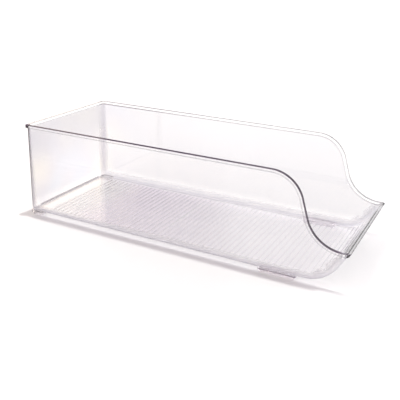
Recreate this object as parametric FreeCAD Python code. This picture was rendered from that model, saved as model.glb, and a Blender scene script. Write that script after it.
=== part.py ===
import FreeCAD, Part
import math
import os

# Clear open-fronted fridge bin. Own frame: +X to the low front lip, +Z up,
# origin on the table plane under the middle of the bin. Millimetres.

# Overall size, measured over the rim and down to the table.
LENGTH = 350.0
WIDTH = 137.5
HEIGHT = 100.0
LIP_HEIGHT = 36.8

# Moulded walls.
WALL = 2.2
DRAFT = math.radians(0.3)
OUTER_RADIUS = 4.6
INNER_RADIUS = 2.4
FOOT_HEIGHT = 3.6

# Rim band along every top edge.
RIM_DEPTH = 3.2
RIM_PROUD = 1.0
RIM_RADIUS = 2.6

# Front scoop.
SCOOP_RADIUS = 34.0
SCOOP_ANGLE = math.radians(60.0)

# S-shaped side edge from the high top edge down to the lip.
SHOULDER_RADIUS = 31.0
SWEEP_RADIUS = 34.0
SHOULDER_START = 74.0
SWEEP_END = 6.8

# Ribs across the underside of the floor.
RIB_PITCH = 5.69
RIB_HEIGHT = 0.3
RIB_WIDTH = 4.6
RIB_MARGIN = 8.8
RIB_REAR_MARGIN = 18.8

# Moulded feet and the soft pads set in them.
FRONT_FOOT_LENGTH = 36.0
FRONT_FOOT_SETBACK = 47.0
REAR_FOOT_LENGTH = 15.0
FOOT_WIDTH = 10.0
FOOT_DROP = 1.4
PAD_BORDER = 1.3
PAD_SEAT = 1.0
PAD_CLEARANCE = 0.1
PAD_ROUND = 1.6

# Trace of the moulding gate under the floor.
GATE_X = -20.0
GATE_RADIUS = 1.6
GATE_HEIGHT = 0.5

# Derived positions.
REAR_X = -LENGTH / 2.0
FRONT_X = LENGTH / 2.0
UNDERSIDE_Z = FOOT_HEIGHT
REACH = LENGTH
ABOVE = HEIGHT + 3.0 * WALL


def v(x, y, z):
    return FreeCAD.Vector(x, y, z)


def side_region(points):
    """Closed side-view face in the XZ plane from ('line', p) and ('arc', mid, p) steps."""
    start = points[0][-1]
    edges = []
    here = start
    for step in points[1:] + [("line", start)]:
        there = step[-1]
        if step[0] == "arc":
            arc = Part.Arc(v(here[0], 0, here[1]), v(step[1][0], 0, step[1][1]), v(there[0], 0, there[1]))
            edges.append(arc.toShape())
        else:
            edges.append(Part.LineSegment(v(here[0], 0, here[1]), v(there[0], 0, there[1])).toShape())
        here = there
    return Part.Face(Part.Wire(edges))


def across(face):
    """The side-view face carried over the whole width and more."""
    face.translate(v(0, -WIDTH, 0))
    return face.extrude(v(0, 2.0 * WIDTH, 0))


def on_circle(centre, radius, angle):
    return (centre[0] + radius * math.cos(angle), centre[1] + radius * math.sin(angle))


def scoop_centre():
    """Centre of the front scoop, placed so that the rim at the lip reaches the full length."""
    from_centre_up = LIP_HEIGHT - (UNDERSIDE_Z + SCOOP_RADIUS)
    outer = SCOOP_RADIUS + RIM_PROUD
    normal_reach = outer / math.sin(SCOOP_ANGLE)
    return (FRONT_X - normal_reach - from_centre_up / math.tan(SCOOP_ANGLE), UNDERSIDE_Z + SCOOP_RADIUS)


def scoop_point(grow, angle):
    """Point of the scoop's arc, angle measured up from its lowest point."""
    return on_circle(scoop_centre(), SCOOP_RADIUS + grow, angle - math.pi / 2.0)


def tub_side(grow):
    """Side view of the tub grown by a distance, its top left open above the rim."""
    bottom = UNDERSIDE_Z - grow
    turned = scoop_point(grow, SCOOP_ANGLE)
    high = (turned[0] + (ABOVE - turned[1]) / math.tan(SCOOP_ANGLE), ABOVE)
    return across(side_region([
        ("line", (-REACH, bottom)),
        ("line", (scoop_centre()[0], bottom)),
        ("arc", scoop_point(grow, SCOOP_ANGLE / 2.0), turned),
        ("line", high),
        ("line", (-REACH, ABOVE)),
    ]))


def plan_outline(z, grow, radius):
    """Rounded rectangle at one height, leaning outwards with the draft."""
    inset = wall_inset(z) - grow
    half = WIDTH / 2.0 - inset
    rear = REAR_X + inset
    front = REACH
    lean = radius * math.sqrt(0.5)
    near = v(rear + radius, -half + radius, z)
    far = v(rear + radius, half - radius, z)
    edges = [
        Part.LineSegment(v(front, -half, z), v(near.x, -half, z)).toShape(),
        Part.Arc(v(near.x, -half, z), near + v(-lean, -lean, 0), v(rear, near.y, z)).toShape(),
        Part.LineSegment(v(rear, near.y, z), v(rear, far.y, z)).toShape(),
        Part.Arc(v(rear, far.y, z), far + v(-lean, lean, 0), v(far.x, half, z)).toShape(),
        Part.LineSegment(v(far.x, half, z), v(front, half, z)).toShape(),
        Part.LineSegment(v(front, half, z), v(front, -half, z)).toShape(),
    ]
    return Part.Wire(edges)


def lower_edges(solid):
    """Edges where the floor and the scoop meet the walls."""
    picked = []
    for edge in solid.Edges:
        box = edge.BoundBox
        upright = box.ZLength > ABOVE / 2.0 and box.XLength < WALL + OUTER_RADIUS
        level = box.ZMin > ABOVE - WALL
        crosswise = box.XLength < RIM_PROUD and abs(box.YMax + box.YMin) < 0.1 and box.XMax > REAR_X + LENGTH / 4.0
        if not (upright or level or crosswise or box.XMin > REACH - 1.0):
            picked.append(edge)
    return picked


def tub(grow, radius):
    """Solid tub shape grown by a distance from the outer wall, corners and lower edges rounded."""
    walls = Part.makeLoft([plan_outline(-WALL, grow, radius), plan_outline(ABOVE, grow, radius)], True, True)
    solid = walls.common(tub_side(grow))
    return solid.makeFillet(radius, lower_edges(solid))


def under_top(depth):
    """Everything below the top edge line lowered by a depth."""
    shoulder = (FRONT_X - SHOULDER_START, HEIGHT - SHOULDER_RADIUS)
    sweep = (FRONT_X - SWEEP_END, LIP_HEIGHT + SWEEP_RADIUS)
    apart = math.hypot(sweep[0] - shoulder[0], sweep[1] - shoulder[1])
    slope = math.atan2(sweep[1] - shoulder[1], sweep[0] - shoulder[0])
    turn = slope + math.acos((SHOULDER_RADIUS + SWEEP_RADIUS) / apart)
    small = SHOULDER_RADIUS - depth
    large = SWEEP_RADIUS + depth
    middle = (turn + math.pi / 2.0) / 2.0
    landing = (math.pi + turn + 1.5 * math.pi) / 2.0
    return across(side_region([
        ("line", (-REACH, -WALL)),
        ("line", (REACH, -WALL)),
        ("line", (REACH, LIP_HEIGHT - depth)),
        ("line", (sweep[0], LIP_HEIGHT - depth)),
        ("arc", on_circle(sweep, large, landing), on_circle(sweep, large, math.pi + turn)),
        ("line", on_circle(shoulder, small, turn)),
        ("arc", on_circle(shoulder, small, middle), (shoulder[0], HEIGHT - depth)),
        ("line", (-REACH, HEIGHT - depth)),
    ]))


def rib_at(x, z):
    """Round bar across the floor, sunk so that only a low ridge stands out below it."""
    half = WIDTH / 2.0 - RIM_PROUD - WALL - RIB_MARGIN
    radius = rib_radius()
    return Part.makeCylinder(radius, 2.0 * half, v(x, -half, z), v(0, 1, 0))


def rib_radius():
    return (RIB_HEIGHT ** 2 + (RIB_WIDTH / 2.0) ** 2) / (2.0 * RIB_HEIGHT)


def ribs():
    """Ribs at an even pitch under the floor and on up the outside of the scoop."""
    sunk = rib_radius() - RIB_HEIGHT
    centre = scoop_centre()
    radius = SCOOP_RADIUS - sunk
    arc_length = SCOOP_RADIUS * SCOOP_ANGLE
    ramp_end = (LIP_HEIGHT - 2.0 * RIM_DEPTH - scoop_point(0.0, SCOOP_ANGLE)[1]) / math.sin(SCOOP_ANGLE)
    start = REAR_X + RIM_PROUD + WALL + RIB_REAR_MARGIN
    flat_length = centre[0] - start
    bars = []
    along = 0.0
    while along < flat_length + arc_length + ramp_end:
        past = along - flat_length
        if past < 0.0:
            bars.append(rib_at(start + along, UNDERSIDE_Z + sunk))
        elif past < arc_length:
            place = on_circle(centre, radius, past / SCOOP_RADIUS - math.pi / 2.0)
            bars.append(rib_at(*place))
        else:
            turned = on_circle(centre, radius, SCOOP_ANGLE - math.pi / 2.0)
            up = past - arc_length
            bars.append(rib_at(turned[0] + up * math.cos(SCOOP_ANGLE), turned[1] + up * math.sin(SCOOP_ANGLE)))
        along += RIB_PITCH
    return bars


def wall_inset(z):
    return RIM_PROUD + (HEIGHT - z) * math.tan(DRAFT)


def foot_places():
    """Name, rear end, length and side of each moulded foot."""
    rear = REAR_X + wall_inset(UNDERSIDE_Z)
    front = FRONT_X - FRONT_FOOT_SETBACK - FRONT_FOOT_LENGTH
    return [
        ("pad_rear_right", rear, REAR_FOOT_LENGTH, -1.0),
        ("pad_rear_left", rear, REAR_FOOT_LENGTH, 1.0),
        ("pad_front_right", front, FRONT_FOOT_LENGTH, -1.0),
        ("pad_front_left", front, FRONT_FOOT_LENGTH, 1.0),
    ]


def rounded_block(x, y, z, length, width, height, radius):
    block = Part.makeBox(length, width, height, v(x, y, z))
    return block.makeFillet(radius, [e for e in block.Edges if e.BoundBox.ZLength > height / 2.0])


def foot_block(rear, length, side, border, bottom, top):
    """Block standing under a side wall, its outer face in line with the wall."""
    outer = WIDTH / 2.0 - wall_inset(UNDERSIDE_Z) - border
    inner = WIDTH / 2.0 - wall_inset(UNDERSIDE_Z) - FOOT_WIDTH + border
    y = inner if side > 0.0 else -outer
    return rounded_block(rear + border, y, bottom, length - 2.0 * border, outer - inner, top - bottom, PAD_ROUND)


def moulded_foot(rear, length, side):
    low = UNDERSIDE_Z - FOOT_DROP
    block = foot_block(rear, length, side, 0.0, low, UNDERSIDE_Z + OUTER_RADIUS)
    seat = foot_block(rear, length, side, PAD_BORDER - PAD_CLEARANCE, low, low + PAD_SEAT)
    return block, seat


def pad(rear, length, side):
    low = UNDERSIDE_Z - FOOT_DROP
    return foot_block(rear, length, side, PAD_BORDER, 0.0, low + PAD_SEAT)


def shell():
    rim = tub(RIM_PROUD, RIM_RADIUS).common(under_top(0.0)).cut(under_top(RIM_DEPTH))
    body = tub(0.0, OUTER_RADIUS).common(under_top(0.0)).fuse(rim)
    feet = [moulded_foot(rear, length, side) for name, rear, length, side in foot_places()]
    gate = Part.makeCylinder(GATE_RADIUS, GATE_HEIGHT + WALL / 2.0, v(GATE_X, 0, UNDERSIDE_Z - GATE_HEIGHT))
    body = body.fuse([block for block, seat in feet] + ribs() + [gate])
    body = body.cut([tub(-WALL, INNER_RADIUS)] + [seat for block, seat in feet])
    return body.removeSplitter()


def save(name, shape):
    solid = shape.Solids[0] if len(shape.Solids) == 1 else shape
    solid.exportStep("parts/" + name + ".step")


os.makedirs("parts", exist_ok=True)
save("bin_shell", shell())
for pad_name, pad_rear, pad_length, pad_side in foot_places():
    save(pad_name, pad(pad_rear, pad_length, pad_side))
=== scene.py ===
import math

import bmesh
import bpy
from mathutils import Matrix, Vector
from mathutils.geometry import delaunay_2d_cdt


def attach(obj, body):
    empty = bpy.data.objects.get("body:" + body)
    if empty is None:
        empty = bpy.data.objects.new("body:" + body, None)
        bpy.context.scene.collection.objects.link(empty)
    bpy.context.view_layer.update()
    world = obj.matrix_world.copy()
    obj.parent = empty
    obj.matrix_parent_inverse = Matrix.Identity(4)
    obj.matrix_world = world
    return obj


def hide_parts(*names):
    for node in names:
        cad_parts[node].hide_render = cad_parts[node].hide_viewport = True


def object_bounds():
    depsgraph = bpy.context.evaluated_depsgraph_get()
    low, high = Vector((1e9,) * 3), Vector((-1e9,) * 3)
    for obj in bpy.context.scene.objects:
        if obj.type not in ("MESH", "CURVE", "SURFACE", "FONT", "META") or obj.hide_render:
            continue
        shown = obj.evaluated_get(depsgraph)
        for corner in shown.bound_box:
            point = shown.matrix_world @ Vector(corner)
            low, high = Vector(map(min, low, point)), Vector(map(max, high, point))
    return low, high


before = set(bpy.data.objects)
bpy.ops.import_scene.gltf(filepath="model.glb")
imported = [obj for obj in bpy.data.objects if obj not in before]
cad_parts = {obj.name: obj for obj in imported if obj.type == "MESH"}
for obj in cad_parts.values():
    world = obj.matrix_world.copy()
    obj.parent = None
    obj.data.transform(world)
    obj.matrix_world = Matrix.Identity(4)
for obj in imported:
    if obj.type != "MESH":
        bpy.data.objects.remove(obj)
cad_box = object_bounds()

# Clear open-fronted fridge bin, in millimetres. +X towards the low lip, +Y towards the far wall, +Z up.
MM = 0.001


def millimetres(metres):
    """A measure of the frame, to a hundredth of a millimetre."""
    return round(metres / MM, 2)


# Tub. Behind LEAN_START the draft of the rear wall fades in over LEAN_LENGTH.
REAR = millimetres(cad_box[0][0])
FRONT = millimetres(cad_box[1][0])
HALF_WIDTH = millimetres(cad_box[1][1])
HEIGHT = millimetres(cad_box[1][2])
LIP = 36.8
UNDERSIDE = 3.6
WALL = 2.2
OUTER_ROUND = 4.6
INNER_ROUND = OUTER_ROUND - WALL
SCOOP = 34.0
RAMP = math.radians(60.0)
DRAFT = math.tan(math.radians(0.3))
LEAN_START = REAR + 75.0
LEAN_LENGTH = 70.0

# Rim band, which stands proud of the walls, with a rounded top and a small rounded step under it.
# RIM_CORNER rounds its upright corners, BAND is where its mesh ends, and RIM_REACH where its shading ends.
RIM_PROUD = 1.0
RIM_DEPTH = 3.2
RIM_ROUND = 0.5
RIM_CORNER = 2.6
RIM_REACH = 10.0
STEP_ROUND = 0.25
BAND = RIM_DEPTH + 1.2

# S-shaped edge of the side walls: an outward bend at the shoulder, then a hollow sweep down to the lip.
SHOULDER = 31.0
SHOULDER_X = FRONT - 74.0
SWEEP = 34.0
SWEEP_X = FRONT - 6.8

# Cross ribs of the floor and the scoop, which run out to nothing at both sides.
RIB_PITCH = 5.69
RIB_WIDTH = 4.6
RIB_HEIGHT = 0.15
RIB_HALF = 56.75
RIB_START = REAR + 22.0
RIB_RUNOUT = 1.0
RIB_END_GAP = 1.6
HAIR = 0.1

# Feet, the pads' pockets, which are cut from CUT_PAST below them, and the trace of the gate.
FOOT_WIDTH = 10.0
FOOT_DROP = 1.4
FRONT_FOOT_START = FRONT - 83.0
FRONT_FOOT_END = FRONT_FOOT_START + 36.0
REAR_FOOT_LENGTH = 15.0
PAD_BORDER = 1.2
PAD_SEAT = 1.0
PAD_PLAY = 0.05
PAD_ROUND = 1.6
CUT_PAST = 1.0
GATE_X = -20.0
GATE_RADIUS = 1.6
GATE_HEIGHT = 0.5

# Fineness of the mesh: steps round each curve, and the even grid that fills the side walls.
CORNER_STEPS = 8
RIM_STEPS = 5
CURVE_STEPS = 32
BEND_STEPS = 24
BLOCK_STEPS = 4
RIB_STEPS = 4
TOP_STEPS = 8
WALL_GRID = 6.0
GRID_EDGE = 9.0
TOP_GAP = 3.0
SHEET_GAP = 0.5

# Staging: the table lies just clear of the pads.
TABLE_DROP = 0.2
TABLE_HALF = 60000.0
LAMP_PLACE = Vector((-90.0, 18.0, 1100.0))
LAMP_LEVEL = 1.9
LAMP_RADIUS = 24.0

SIDE = HALF_WIDTH - RIM_PROUD
BACK = REAR + RIM_PROUD
SCOOP_X = FRONT - (SCOOP + RIM_PROUD) / math.sin(RAMP) - (LIP - UNDERSIDE - SCOOP) / math.tan(RAMP)
SCOOP_Z = UNDERSIDE + SCOOP
UP = Vector((0.0, 0.0, 1.0))
RAMP_DOWN = Vector((-math.cos(RAMP), 0.0, -math.sin(RAMP)))

WHITE = (1.0, 1.0, 1.0, 1.0)
BLACK = (0.0, 0.0, 0.0, 1.0)


def steps(start, end, count):
    """Even steps from a start to an end, both included."""
    return [start + (end - start) * k / count for k in range(count + 1)]


QUARTER = steps(0.0, math.pi / 2.0, CORNER_STEPS)


def heading(angle):
    """Unit vector in the XZ plane."""
    return Vector((math.cos(angle), 0.0, math.sin(angle)))


def lean(point):
    """The walls' draft: narrower and shorter towards the floor."""
    drop = (HEIGHT - point.z) * DRAFT
    rearward = min(max((LEAN_START - point.x) / LEAN_LENGTH, 0.0), 1.0)
    return Vector((point.x + drop * rearward, point.y * (1.0 - drop / HALF_WIDTH), point.z))


def corner_reach(angle, grow):
    """Distance from the corner's centre to the outline grown by the rim, along an angle."""
    side = OUTER_ROUND + grow
    inner = side - RIM_CORNER
    lead = min(abs(math.cos(angle)), abs(math.sin(angle)))
    main = max(abs(math.cos(angle)), abs(math.sin(angle)))
    if side * lead / main <= inner:
        return side / main
    middle = inner * (lead + main)
    return middle + math.sqrt(middle ** 2 - 2.0 * inner ** 2 + RIM_CORNER ** 2)


def side_top():
    """Top edge of a side wall, rear to lip: (point, way down the wall, way up from the edge)."""
    run = SWEEP_X - SHOULDER_X
    rise = LIP + SWEEP - HEIGHT + SHOULDER
    turn = math.atan2(rise, run) + math.acos((SHOULDER + SWEEP) / math.hypot(run, rise))
    stations = []
    for x in steps(BACK + OUTER_ROUND, SHOULDER_X, TOP_STEPS)[1:-1]:
        stations.append((Vector((x, 0.0, HEIGHT)), -UP, UP))
    for angle in steps(math.pi / 2.0, turn, CURVE_STEPS):
        up = heading(angle)
        stations.append((Vector((SHOULDER_X, 0.0, HEIGHT - SHOULDER)) + up * SHOULDER, -up, up))
    for angle in steps(math.pi + turn, 1.5 * math.pi, CURVE_STEPS):
        down = heading(angle)
        place = Vector((SWEEP_X, 0.0, LIP + SWEEP)) + down * SWEEP
        stations.append((place, RAMP_DOWN if angle > math.pi + RAMP else down, -down))
    return stations


def across_steps(inner_half):
    """Places across the floor where its cross-section changes."""
    flat = RIB_HALF - RIB_RUNOUT
    return [-inner_half, -RIB_HALF, -flat, flat, RIB_HALF, inner_half]


def corner_stations(centre, spread, toward, angles, down):
    """Top stations round one upright corner, its centre on the edge and its stretch along X."""
    stations = []
    for angle in angles:
        out = Vector((toward * math.sin(angle) * spread, -math.cos(angle), 0.0))
        reaches = (INNER_ROUND, OUTER_ROUND, corner_reach(angle, RIM_PROUD))
        stations.append((*(centre + out * reach for reach in reaches), down, UP))
    return stations


def end_stations(inner, outer, rim, height, down, places):
    """Top stations along the rear wall or the lip, between its corners."""
    return [(*(Vector((x, y, height)) for x in (inner, outer, rim)), down, UP) for y in places[1:-1]]


def side_stations(side):
    """Top stations along a side wall, from the rear to the lip."""
    reaches = (SIDE - WALL, SIDE, HALF_WIDTH)
    return [(*(place + Vector((0.0, side * reach, 0.0)) for reach in reaches), down, up)
            for place, down, up in side_top()]


def rail():
    """Loop round the top edge: inner, outer and rim points, way down the wall, way up from the edge."""
    stretch = 1.0 / math.sin(RAMP)
    lip_x = FRONT - RIM_PROUD * stretch
    centre_y = SIDE - OUTER_ROUND
    across = across_steps(centre_y)
    rear_near = Vector((BACK + OUTER_ROUND, -centre_y, HEIGHT))
    rear_far = Vector((BACK + OUTER_ROUND, centre_y, HEIGHT))
    lip_near = Vector((lip_x - OUTER_ROUND * stretch, -centre_y, LIP))
    lip_far = Vector((lip_x - OUTER_ROUND * stretch, centre_y, LIP))
    far_turn = [math.pi - angle for angle in QUARTER]
    return (corner_stations(rear_near, 1.0, -1.0, QUARTER, -UP)
            + end_stations(BACK + WALL, BACK, REAR, HEIGHT, -UP, across)
            + corner_stations(rear_far, 1.0, -1.0, far_turn[::-1], -UP)
            + side_stations(1.0)
            + corner_stations(lip_far, stretch, 1.0, far_turn, RAMP_DOWN)
            + end_stations(lip_x - WALL * stretch, lip_x, FRONT, LIP, RAMP_DOWN, across[::-1])
            + corner_stations(lip_near, stretch, 1.0, QUARTER[::-1], RAMP_DOWN)
            + side_stations(-1.0)[::-1])


def rim_profile(inner, outer, rim, way, up):
    """Points over the rounded rim at one station, from inside the wall to outside it."""
    down = way / abs(way.dot(up))
    across = (rim - inner).normalized()
    arc = [(1.0 - math.cos(a), 1.0 - math.sin(a)) for a in steps(0.0, math.pi / 2.0, RIM_STEPS)]
    step = [(round_in * STEP_ROUND, round_down * STEP_ROUND) for round_in, round_down in arc[::2]]
    points = [inner + down * BAND]
    points += [inner + (across * low + down * high) * RIM_ROUND for low, high in arc]
    points += [rim - (across * high - down * low) * RIM_ROUND for low, high in arc]
    points += [rim - across * low + down * (RIM_DEPTH - high) for low, high in step]
    points.append(rim - across * STEP_ROUND + down * RIM_DEPTH)
    points += [outer + across * high + down * (RIM_DEPTH + low) for low, high in step]
    points += [outer + down * (RIM_DEPTH + STEP_ROUND), outer + down * BAND]
    return points


def rib_marks(start, end):
    """Height of the ribs at each place that a rib's soft wave needs, along the sheet."""
    marks = {}
    middle = start
    while middle + RIB_WIDTH / 2.0 < end:
        for k in range(-RIB_STEPS, RIB_STEPS + 1):
            share = k / (2.0 * RIB_STEPS)
            marks[middle + RIB_WIDTH * share] = RIB_HEIGHT * math.cos(math.pi * share) ** 2
        middle += RIB_PITCH
    return marks


def sheet(grow, rounding, ribs):
    """Stations along the rear wall, floor and scoop: (point, way in, how far the ribs stand out)."""
    low = UNDERSIDE - grow
    radius = SCOOP + grow
    centre = Vector((BACK - grow + rounding, 0.0, low + rounding))
    stations = []
    for angle in QUARTER:
        way = -heading(math.pi + angle)
        stations.append((centre - way * rounding, way, 0.0))
    floor_x = stations[-1][0].x
    turned = Vector((SCOOP_X + radius * math.sin(RAMP), 0.0, SCOOP_Z - radius * math.cos(RAMP)))
    flat = SCOOP_X - floor_x
    bend = radius * RAMP
    ramp = (LIP - BAND - turned.z - rounding * math.cos(RAMP)) / math.sin(RAMP) - SHEET_GAP
    total = flat + bend + ramp
    marks = dict.fromkeys(steps(flat, flat + bend, BEND_STEPS) + [total], 0.0)
    if ribs:
        waves = rib_marks(RIB_START - floor_x, total - RIB_END_GAP)
        middles = [mark for mark in waves if waves[mark] == RIB_HEIGHT]
        marks = {mark: 0.0 for mark in marks if all(abs(mark - m) >= RIB_WIDTH / 2.0 for m in middles)}
        marks.update(waves)
    for mark in sorted(marks):
        if mark <= flat:
            way = UP
            place = Vector((floor_x + mark, 0.0, low))
        elif mark <= flat + bend:
            way = heading(math.pi / 2.0 + (mark - flat) / radius)
            place = Vector((SCOOP_X, 0.0, SCOOP_Z)) - way * radius
        else:
            way = heading(math.pi / 2.0 + RAMP)
            place = turned - RAMP_DOWN * (mark - flat - bend)
        stations.append((place, way, marks[mark]))
    return stations


def sheet_ring(place, way, rib, side, rounding):
    """Points across the tub at one station of the sheet, from the near wall to the far wall."""
    near = []
    for angle in QUARTER:
        lift = way * rounding * (1.0 - math.sin(angle))
        reach = side - rounding * (1.0 - math.cos(angle))
        near.append((lift, reach))
    ribs = [place - way * rib * share + Vector((0.0, y, 0.0))
            for y, share in zip(across_steps(0.0)[1:-1], (0.0, 1.0, 1.0, 0.0))]
    return ([place + lift - Vector((0.0, reach, 0.0)) for lift, reach in near] + ribs
            + [place + lift + Vector((0.0, reach, 0.0)) for lift, reach in reversed(near)])


def wall_grid(side, outline):
    """Even places inside a side wall, clear of its outline and of the rim."""
    columns = int((FRONT - BACK) // WALL_GRID)
    rows = int((HEIGHT - UNDERSIDE) // WALL_GRID)
    places = []
    for k in range(columns * rows):
        across = Vector((k % columns, 0.0, k // columns)) * WALL_GRID
        place = lean(Vector((BACK + GRID_EDGE, side, UNDERSIDE + GRID_EDGE)) + across) * MM
        below_rim = place.z < (HEIGHT - BAND - TOP_GAP) * MM
        if below_rim and all((place.xz - spot).length > 0.4 * WALL_GRID * MM for spot in outline):
            places.append(place)
    return places


def fill_wall(mesh, outline, side):
    """Closes one face of a side wall with even triangles inside its outline."""
    flat = [v.co.xz for v in outline]
    extra = wall_grid(side, flat)
    filled = delaunay_2d_cdt(flat + [p.xz for p in extra], [], [list(range(len(flat)))], 1, 1e-9)
    corners = dict(enumerate(outline))
    for triangle in filled[2]:
        picked = []
        for corner in triangle:
            index = filled[3][corner][0]
            if index not in corners:
                corners[index] = mesh.verts.new(extra[index - len(flat)])
            picked.append(corners[index])
        mesh.faces.new(picked)


def join_rows(mesh, rows, closed=False):
    """Joins rows of vertices with four-sided faces."""
    for here, there in zip(rows, rows[1:] + rows[:1] if closed else rows[1:]):
        for k in range(len(here) - 1):
            mesh.faces.new((here[k], there[k], there[k + 1], here[k + 1]))


def shell_mesh():
    """The whole moulding as one closed surface with a rounded rim."""
    mesh = bmesh.new()
    ribbed = mesh.verts.layers.float.new("ribbed")
    crest = mesh.verts.layers.float.new("crest")
    bend = mesh.verts.layers.float.new("bend")
    rim = mesh.verts.layers.float.new("rim")

    def vert(point, below=RIM_REACH):
        """Adds a vertex and notes how near it lies below the rim's top."""
        made = mesh.verts.new(lean(point) * MM)
        made[rim] = 1.0 - below / RIM_REACH
        return made

    profiles = []
    for station in rail():
        inner = station[0]
        up = station[-1]
        profiles.append([vert(p, (inner - p).dot(up)) for p in rim_profile(*station)])
    join_rows(mesh, profiles, closed=True)
    end_size = 2 * (CORNER_STEPS + 1) + 4
    side_size = len(side_top())
    rear_end = end_size
    far_end = rear_end + side_size
    lip_end = far_end + end_size
    for end, grow, rounding, ribs in ((0, -WALL, INNER_ROUND, False), (-1, 0.0, OUTER_ROUND, True)):
        edge = [profile[end] for profile in profiles]
        rings = [edge[:rear_end]]
        for place, way, rib in sheet(grow, rounding, ribs):
            ring = [vert(p) for p in sheet_ring(place, way, rib, SIDE + grow, rounding)]
            for v in ring[CORNER_STEPS + 2:-CORNER_STEPS - 2]:
                v[ribbed] = 1.0 if ribs and place.x > RIB_START - RIB_WIDTH / 2.0 - HAIR else 0.0
                v[crest] = rib / RIB_HEIGHT
            for v in ring[:CORNER_STEPS + 1] + ring[-CORNER_STEPS - 1:]:
                v[bend] = 1.0 if ribs else 0.0
            rings.append(ring)
        rings.append(edge[far_end:lip_end][::-1])
        join_rows(mesh, rings)
        fill_wall(mesh, [ring[0] for ring in rings] + edge[lip_end:], -SIDE - grow)
        fill_wall(mesh, [ring[-1] for ring in rings[::-1]] + edge[rear_end:far_end], SIDE + grow)
    for face in mesh.faces:
        face.smooth = len(face.verts) == 4
    bmesh.ops.remove_doubles(mesh, verts=mesh.verts, dist=1e-6)
    bmesh.ops.recalc_face_normals(mesh, faces=mesh.faces)
    return mesh


def add_block(mesh, low, high, rounding):
    """Closed upright block between two corners, its upright edges rounded."""
    left = low.x + rounding
    right = high.x - rounding
    front = low.y + rounding
    back = high.y - rounding
    outline = []
    for turn, centre in enumerate(((right, back), (left, back), (left, front), (right, front))):
        for angle in steps(turn * math.pi / 2.0, (turn + 1) * math.pi / 2.0, BLOCK_STEPS):
            outline.append(Vector(centre) + Vector((math.cos(angle), math.sin(angle))) * rounding)
    top = [mesh.verts.new(Vector((p.x, p.y, high.z)) * MM) for p in outline]
    base = [mesh.verts.new(Vector((p.x, p.y, low.z)) * MM) for p in outline]
    mesh.faces.new(top)
    mesh.faces.new(base[::-1])
    for k in range(len(top)):
        mesh.faces.new((base[k - 1], base[k], top[k], top[k - 1]))


def foot_spans():
    """Rear end, front end and side of each moulded foot."""
    rear = BACK + (HEIGHT - UNDERSIDE) * DRAFT
    spans = ((rear, rear + REAR_FOOT_LENGTH), (FRONT_FOOT_START, FRONT_FOOT_END))
    return [(start, end, side) for start, end in spans for side in (-1.0, 1.0)]


def foot_part(mesh, start, end, side, inner, outer, bottom, top):
    """Block under one side wall, its reach given inwards from the wall's outer face."""
    face = SIDE - (HEIGHT - UNDERSIDE) * DRAFT
    across = sorted((side * (face - inner), side * (face - outer)))
    add_block(mesh, Vector((start, across[0], bottom)), Vector((end, across[1], top)), PAD_ROUND)


def foot_blocks():
    """Feet under the side walls, carried up the rounded edge, and the trace of the gate."""
    mesh = bmesh.new()
    for start, end, side in foot_spans():
        foot_part(mesh, start, end, side, 0.0, FOOT_WIDTH, UNDERSIDE - FOOT_DROP, UNDERSIDE + WALL / 2.0)
    gate_top = UNDERSIDE + WALL / 2.0
    gate_base = UNDERSIDE - GATE_HEIGHT
    middle = Matrix.Translation(Vector((GATE_X, 0.0, (gate_top + gate_base) / 2.0)) * MM)
    radius = GATE_RADIUS * MM
    bmesh.ops.create_cone(mesh, segments=3 * CORNER_STEPS, radius1=radius, radius2=radius, cap_ends=True,
                          depth=(gate_top - gate_base) * MM, matrix=middle)
    return add_piece("foot_blocks", mesh)


def pad_seats():
    """Pockets in the feet that the soft pads are pressed into."""
    mesh = bmesh.new()
    low = UNDERSIDE - FOOT_DROP
    for start, end, side in foot_spans():
        foot_part(mesh, start + PAD_BORDER, end - PAD_BORDER, side, PAD_BORDER, FOOT_WIDTH - PAD_BORDER,
                  low - CUT_PAST, low + PAD_SEAT + PAD_PLAY)
    return add_piece("pad_seats", mesh)


def carve(piece, tool, operation):
    """Joins a tool's shape to a piece or cuts it away, and deletes the tool."""
    step = piece.modifiers.new("carving", "BOOLEAN")
    step.object = tool
    step.operation = operation
    step.solver = "EXACT"
    shaped = bpy.data.meshes.new_from_object(piece.evaluated_get(bpy.context.evaluated_depsgraph_get()))
    piece.modifiers.clear()
    piece.data = shaped
    bpy.data.objects.remove(tool)


def add_piece(name, mesh):
    """Turns a finished mesh into an object in the scene."""
    data = bpy.data.meshes.new(name)
    mesh.to_mesh(data)
    mesh.free()
    piece = bpy.data.objects.new(name, data)
    bpy.context.collection.objects.link(piece)
    return piece


class Value:
    """A shader socket that can be calculated with."""

    def __init__(self, graph, socket):
        self.graph = graph
        self.socket = socket

    def calc(self, operation, *terms):
        return self.graph.node("ShaderNodeMath", {"operation": operation}, dict(enumerate(terms)))[0]

    def __add__(self, other):
        return self.calc("ADD", self, other)

    __radd__ = __add__

    def __sub__(self, other):
        return self.calc("SUBTRACT", self, other)

    def __rsub__(self, other):
        return self.calc("SUBTRACT", other, self)

    def __mul__(self, other):
        return self.calc("MULTIPLY", self, other)

    __rmul__ = __mul__

    def __truediv__(self, other):
        return self.calc("DIVIDE", self, other)

    def __rtruediv__(self, other):
        return self.calc("DIVIDE", other, self)

    def __abs__(self):
        return self.calc("ABSOLUTE", self)

    def top(self, other):
        return self.calc("MAXIMUM", self, other)


def set_stops(ramp, stops):
    """Places a colour ramp's stops, each a place and a colour."""
    for place, colour in stops[2:]:
        ramp.elements.new(place)
    for element, (place, colour) in zip(ramp.elements, stops):
        element.position = place
        element.color = colour


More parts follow.
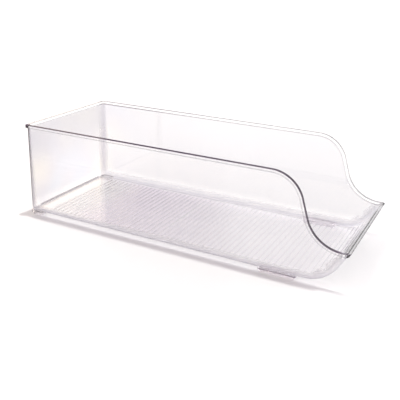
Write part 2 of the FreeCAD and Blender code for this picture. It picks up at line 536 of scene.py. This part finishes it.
class Graph:
    """Node tree of a material or a world."""

    def __init__(self, owner):
        owner.use_nodes = True
        self.tree = owner.node_tree
        self.tree.nodes.clear()

    def node(self, kind, settings=None, sockets=None):
        """Adds a node and returns its outputs as values, by number and by name."""
        made = self.tree.nodes.new(kind)
        for key, value in (settings or {}).items():
            if key == "stops":
                set_stops(made.color_ramp, value)
            else:
                setattr(made, key, value)
        for key, value in (sockets or {}).items():
            if isinstance(value, Value):
                self.tree.links.new(value.socket, made.inputs[key])
            else:
                made.inputs[key].default_value = value
        return {**{k: Value(self, out) for k, out in enumerate(made.outputs)},
                **{out.name: Value(self, out) for out in made.outputs}}

    def mark(self, name):
        """A share that the mesh carries under a name."""
        return self.node("ShaderNodeAttribute", {"attribute_name": name})["Fac"]

    def matt(self, colour):
        """Plain matt shading."""
        return self.node("ShaderNodeBsdfDiffuse", None, {"Color": colour})[0]

    def see_through(self, colour):
        """Shading that lets light straight through, tinted."""
        return self.node("ShaderNodeBsdfTransparent", None, {"Color": colour})[0]

    def finish(self, surface):
        """Makes a shading the material's surface."""
        self.node("ShaderNodeOutputMaterial", None, {"Surface": surface})


def new_material(name):
    material = bpy.data.materials.new(name)
    return material, Graph(material)


def ease(value, start, end, low=0.0, high=1.0):
    """Eases from one level to another while a value goes from start to end."""
    span = {"Value": value, "From Min": start, "From Max": end, "To Min": low, "To Max": high}
    return value.graph.node("ShaderNodeMapRange", {"interpolation_type": "SMOOTHSTEP"}, span)[0]


def window(value, start, end, soft):
    """1 while a value lies between two ends, with soft flanks inside them."""
    return ease(value, start, start + soft) * ease(value, end - soft, end, 1.0, 0.0)


def blend(share, one, other):
    """Mixes two colours."""
    return share.graph.node("ShaderNodeMix", {"data_type": "RGBA"}, {0: share, 6: one, 7: other})[2]


def overlay(share, under, over):
    """Lays one shading over another."""
    return under.graph.node("ShaderNodeMixShader", None, {0: share, 1: under, 2: over})[0]


class ShellPlace:
    """Where a point of the shell lies: distances in millimetres, and shares from 0 to 1."""

    def __init__(self, g):
        """Works out the places and shares that the finish of the shell depends on."""
        self.point = g.node("ShaderNodeTexCoord")["Object"]
        axes = g.node("ShaderNodeSeparateXYZ", None, {0: self.point})
        self.x = axes["X"] / MM
        self.y = axes["Y"] / MM
        self.z = axes["Z"] / MM
        self.aside = abs(self.y)
        self.depth = (1.0 - g.mark("rim")) * RIM_REACH
        self.near = ease(self.y, -SIDE + 1.25, -SIDE + 3.75, 1.0, 0.0)
        self.far = ease(self.y, SIDE - 17.75, SIDE - 1.75)
        self.upright = ease(self.z, UNDERSIDE + 2.4, 20.0)
        self.raised = ease(self.z, 15.0, 25.0)
        self.rear = ease(self.x, REAR + 3.5, REAR + 8.0, 1.0, 0.0)
        self.corner = self.rear * ease(self.aside, SIDE - 9.75, SIDE - 1.75)


def wall_colour_with_painted_light(g, at):
    """Near-white walls, with painted shade greying the far side, and cloudy pastel colours of painted light
    with grey shade at the rear.
    """
    swirl = g.node("ShaderNodeTexNoise", None, {"Vector": at.point, "Scale": 14.0, "Detail": 1.0})[0]
    painted_light_clouds = g.node("ShaderNodeValToRGB", {"stops": (
        (0.3, (0.90, 0.89, 0.80, 1.0)), (0.45, (0.88, 0.86, 0.82, 1.0)),
        (0.6, (0.78, 0.77, 0.81, 1.0)), (0.75, (0.74, 0.79, 0.87, 1.0)))}, {0: swirl})[0]
    # Painted shade: the far side is greyer, and the rear end takes cloudy pastel colours of painted light
    # with grey.
    clear = blend(at.upright, (1.0, 0.995, 1.0, 1.0), blend(at.far, WHITE, (0.82, 0.82, 0.83, 1.0)))
    rear = ease(at.x, REAR + 3.0, REAR + 7.0, 0.3, 0.0) + ease(at.x, REAR + 3.0, REAR + 65.0, 0.55, 0.0)
    return blend(rear * at.upright, clear, painted_light_clouds)


def painted_rib_shade_share(g, at):
    """How strongly painted lavender shade tints the ribbed panel: most behind the middle, and more on the
    crests as painted stripes.
    """
    deep = ease(at.x, REAR + 75.0, REAR + 235.0, 1.0, 0.3) * ease(at.x, REAR + 35.0, REAR + 75.0, 0.1, 1.0)
    return g.mark("ribbed") * (deep * 0.37 + g.mark("crest") * 0.12)


def painted_rim_lines(at):
    """Shares of the painted dark line round the top of the rim and of the painted dark line at the step
    under its band, both painted shade.
    """
    lip = ease(at.x, FRONT - 15.0, FRONT - 7.0, 0.0, 0.3)
    top = ease(at.depth, RIM_ROUND - 0.05, RIM_ROUND + 0.25, 1.0, 0.0) * at.raised
    step = window(at.depth, RIM_DEPTH - 0.6, RIM_DEPTH + 0.6, 0.4) * at.raised
    near_top = at.near * ease(at.x, FRONT - 13.0, FRONT - 5.0, 0.85, 0.2)
    far_step = at.far * ease(at.x, REAR + 15.0, REAR + 155.0, 0.7, 0.3)
    return top * (near_top + lip + 0.1), step * (at.near * 0.5 + far_step + lip + 0.05)


def painted_dark_lines_share(at, top):
    """Opaque painted shade lines: near rim, top edge of the near front foot, base of the rear wall, near
    rear edge.
    """
    foot_top_line = window(at.z, UNDERSIDE - 0.5, UNDERSIDE + 0.5, 0.3) * at.near
    foot_top_line = foot_top_line * window(at.x, FRONT_FOOT_START - 1.5, FRONT_FOOT_END + 0.5, 1.0)
    base = window(at.z, UNDERSIDE + 2.4, UNDERSIDE + 4.2, 0.6) * window(at.x, REAR + 2.2, REAR + 5.0, 0.6)
    base = base * ease(at.aside, SIDE - 17.75, SIDE - 11.75, 1.0, 0.0)
    edge = ease(at.x, REAR + 4.2, REAR + 5.0, 1.0, 0.0) * ease(at.y, -SIDE + 3.75, -SIDE + 5.25, 1.0, 0.0)
    return top * at.near * 0.55 + foot_top_line * 0.7 + base * 0.6 + edge * at.upright * 0.35


def foot_share(at):
    """How far the feet let the view past, most at the front."""
    low = ease(at.z, UNDERSIDE - 0.3, UNDERSIDE - 0.1, 0.8, 0.0)
    return low * ease(at.aside, RIB_HALF - 0.25, RIB_HALF + 0.25) * ease(at.x, -50.0, 50.0, 0.3, 1.0)


def held_share(g, at):
    """How much lamp light is held back: on steep faces, along the lower edges and in the rear corners."""
    slant = g.node("ShaderNodeLayerWeight", None, {"Blend": 0.5})["Facing"]
    border = ease(at.aside, SIDE - 12.75, SIDE - 10.75, 0.0, 0.14) * ease(at.z, 8.0, 12.0, 1.0, 0.0)
    return ease(slant, 0.78, 0.96, 0.04, 1.0) + border + at.corner


def clear_plastic():
    """Polished clear plastic: painted lavender shade on the ribs, milky bends, painted dark edge lines and
    grey shade. Lamp light goes straight on.
    """
    material, g = new_material("clear plastic")
    at = ShellPlace(g)
    top, step = painted_rim_lines(at)
    band = ease(at.depth, RIM_DEPTH - 0.2, RIM_DEPTH, 1.0, 0.0) * at.raised
    shade = ease(at.x, REAR + 3.5, REAR + 6.0, 0.6, 0.0) * ease(at.z, 20.0, 90.0)
    colour = wall_colour_with_painted_light(g, at)
    # Painted shade: lavender over the ribbed panel, with painted stripes on the rib crests.
    colour = blend(painted_rib_shade_share(g, at), colour, (0.72, 0.50, 0.76, 1.0))
    # Painted shade: grey on the rear upright corners and on the upper rear face.
    colour = blend(at.corner * at.upright * 0.8, colour, (0.62, 0.60, 0.66, 1.0))
    colour = blend(shade, colour, (0.55, 0.55, 0.58, 1.0))
    colour = blend(band, colour, WHITE)
    # Painted shade: dark lines round the rim's top and at its step, darker on the near side.
    colour = blend(top + step, colour, (0.05, 0.025, 0.06, 1.0))
    body = g.node("ShaderNodeBsdfPrincipled", None, {
        "Base Color": colour, "Roughness": 0.0, "IOR": 1.57, "Transmission Weight": 1.0})[0]
    milk = (0.93, 0.92, 0.97, 1.0)
    milky = overlay(0.6, g.matt(milk), g.node("ShaderNodeBsdfTranslucent", None, {"Color": milk})[0])
    body = overlay(g.mark("bend") * ease(at.x, 100.0, 150.0, 0.65, 0.8), body, milky)
    body = overlay(foot_share(at), body, g.see_through((1.0, 0.98, 1.0, 1.0)))
    # Painted shade: opaque dark matt lines over the glass at the near rim, the near front foot, the rear
    # base and the near rear edge.
    body = overlay(painted_dark_lines_share(at, top), body, g.matt((0.12, 0.09, 0.13, 1.0)))
    passed = overlay(held_share(g, at), g.see_through(WHITE), g.see_through((0.16, 0.13, 0.19, 1.0)))
    ray = g.node("ShaderNodeLightPath")
    g.finish(overlay(ray["Is Shadow Ray"], body, passed))
    return material


def soft_pad():
    """Soft milky pad that lets lamp light through."""
    material, g = new_material("milky soft pad")
    place = g.node("ShaderNodeTexCoord")["Object"]
    cloud = g.node("ShaderNodeTexNoise", None, {"Vector": place, "Scale": 300.0})[0]
    milk = blend(cloud, (0.90, 0.87, 0.91, 1.0), (0.96, 0.94, 0.97, 1.0))
    body = g.node("ShaderNodeBsdfPrincipled", None, {
        "Base Color": milk, "Roughness": 0.45, "IOR": 1.45, "Alpha": 0.5, "Subsurface Weight": 1.0,
        "Subsurface Scale": 3.0 * MM, "Subsurface Radius": (1.0, 1.0, 1.0)})[0]
    ray = g.node("ShaderNodeLightPath")
    g.finish(overlay(ray["Is Shadow Ray"], body, g.see_through((0.9, 0.87, 0.9, 1.0))))
    return material


def white_table():
    """Slightly glossy white table, which glows where lamp light thins out and so looks evenly white."""
    material, g = new_material("white table")
    ray = g.node("ShaderNodeLightPath")
    seen = ray["Is Camera Ray"].top(ray["Is Glossy Ray"]).top(ray["Is Transmission Ray"])
    way = g.node("ShaderNodeSeparateXYZ", None, {0: g.node("ShaderNodeTexCoord")["Object"]})
    reach = (way["X"] * way["X"] + way["Y"] * way["Y"]) / (LAMP_PLACE.z * MM) ** 2
    lit = 1.0 / (reach + 1.0)
    level = ray["Is Transmission Ray"] * 0.07 + seen * (1.0 - lit * lit) * 0.52
    glow = g.node("ShaderNodeEmission", None, {"Color": blend(level, BLACK, WHITE), "Strength": 1.0})[0]
    paint = g.node("ShaderNodeAddShader", None, {0: g.matt((0.86, 0.86, 0.86, 1.0)), 1: glow})[0]
    gloss = g.node("ShaderNodeBsdfAnisotropic", None, {"Color": WHITE, "Roughness": 0.12})[0]
    g.finish(overlay(0.06, paint, gloss))
    return material


def add_room():
    """White studio, dusky above eye level, with a bright warm screen beside the rear end."""
    world = bpy.data.worlds.new("studio")
    bpy.context.scene.world = world
    g = Graph(world)
    way = g.node("ShaderNodeSeparateXYZ", None, {0: g.node("ShaderNodeTexCoord")["Generated"]})
    start = ease(way["X"], -0.52, -0.25, 0.05, 0.55)
    dusk = ease(way["Z"] - start, 0.0, 0.2) * ease(way["Z"], 0.7, 0.9, 1.0, 0.5)
    walls = blend(dusk, WHITE, (0.27, 0.22, 0.28, 1.0))
    turn = math.radians(216.3)
    beside = ease(way["X"] * math.cos(turn) + way["Y"] * math.sin(turn), -0.01, 0.01)
    screen = beside * window(way["Z"], 0.1, 0.55, 0.1)
    shade = blend(screen, walls, (1.9, 1.65, 1.4, 1.0))
    seen = g.node("ShaderNodeLightPath")["Is Camera Ray"]
    world.cycles.sampling_method = "NONE"
    light = g.node("ShaderNodeBackground", None, {"Color": blend(seen, shade, WHITE), "Strength": 1.0})[0]
    g.node("ShaderNodeOutputWorld", None, {"Surface": light})


def add_lamp():
    """Small overhead lamp, its power set by its height so that it lights the table under it as strongly."""
    lamp = bpy.data.lights.new("overhead_lamp", "POINT")
    lamp.energy = LAMP_LEVEL * 4.0 * math.pi * (LAMP_PLACE.z * MM) ** 2
    lamp.shadow_soft_size = LAMP_RADIUS * MM
    holder = bpy.data.objects.new("overhead_lamp", lamp)
    holder.location = LAMP_PLACE * MM
    holder.visible_glossy = False
    holder.visible_transmission = False
    bpy.context.collection.objects.link(holder)


def add_camera():
    """Camera given by its place, its turns in radians and its focal length in picture widths."""
    place = Vector((279.43, -548.94, 271.73)) * MM
    yaw = -0.4755
    pitch = 0.28229
    roll = 0.02203
    focal = 1.5727925
    ahead = Vector((math.sin(yaw) * math.cos(pitch), math.cos(yaw) * math.cos(pitch), -math.sin(pitch)))
    level = Vector((math.cos(yaw), -math.sin(yaw), 0.0))
    rise = level.cross(ahead)
    right = level * math.cos(roll) + rise * math.sin(roll)
    above = rise * math.cos(roll) - level * math.sin(roll)
    camera = bpy.data.cameras.new("camera")
    camera.sensor_width = 36.0
    camera.lens = focal * camera.sensor_width
    camera.shift_y = -0.15
    camera.clip_end = 50.0
    holder = bpy.data.objects.new("camera", camera)
    holder.matrix_world = Matrix((right, above, -ahead)).transposed().to_4x4()
    holder.location = place
    bpy.context.collection.objects.link(holder)
    bpy.context.scene.camera = holder


def add_shell():
    """The moulding with its feet and the pads' pockets."""
    shell = add_piece("moulded_shell", shell_mesh())
    shell.data.materials.append(clear_plastic())
    carve(shell, foot_blocks(), "UNION")
    carve(shell, pad_seats(), "DIFFERENCE")
    shell.data.set_sharp_from_angle(angle=math.radians(35.0))
    shading = shell.modifiers.new("even shading", "WEIGHTED_NORMAL")
    shading.weight = 60
    shading.keep_sharp = True
    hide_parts("bin_shell")
    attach(shell, "root")


def dress_pads():
    """Gives the four pads of the frame their finish."""
    finish = soft_pad()
    for node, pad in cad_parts.items():
        if node.startswith("pad_"):
            for slot in pad.material_slots:
                slot.material = finish


def add_table():
    """Table top just under the pads."""
    mesh = bmesh.new()
    bmesh.ops.create_grid(mesh, x_segments=1, y_segments=1, size=TABLE_HALF * MM)
    table = add_piece("table", mesh)
    table.location.z = -TABLE_DROP * MM
    table.data.materials.append(white_table())


add_shell()
dress_pads()
add_table()
add_room()
add_lamp()
add_camera()
bpy.context.scene.view_settings.view_transform = "Standard"
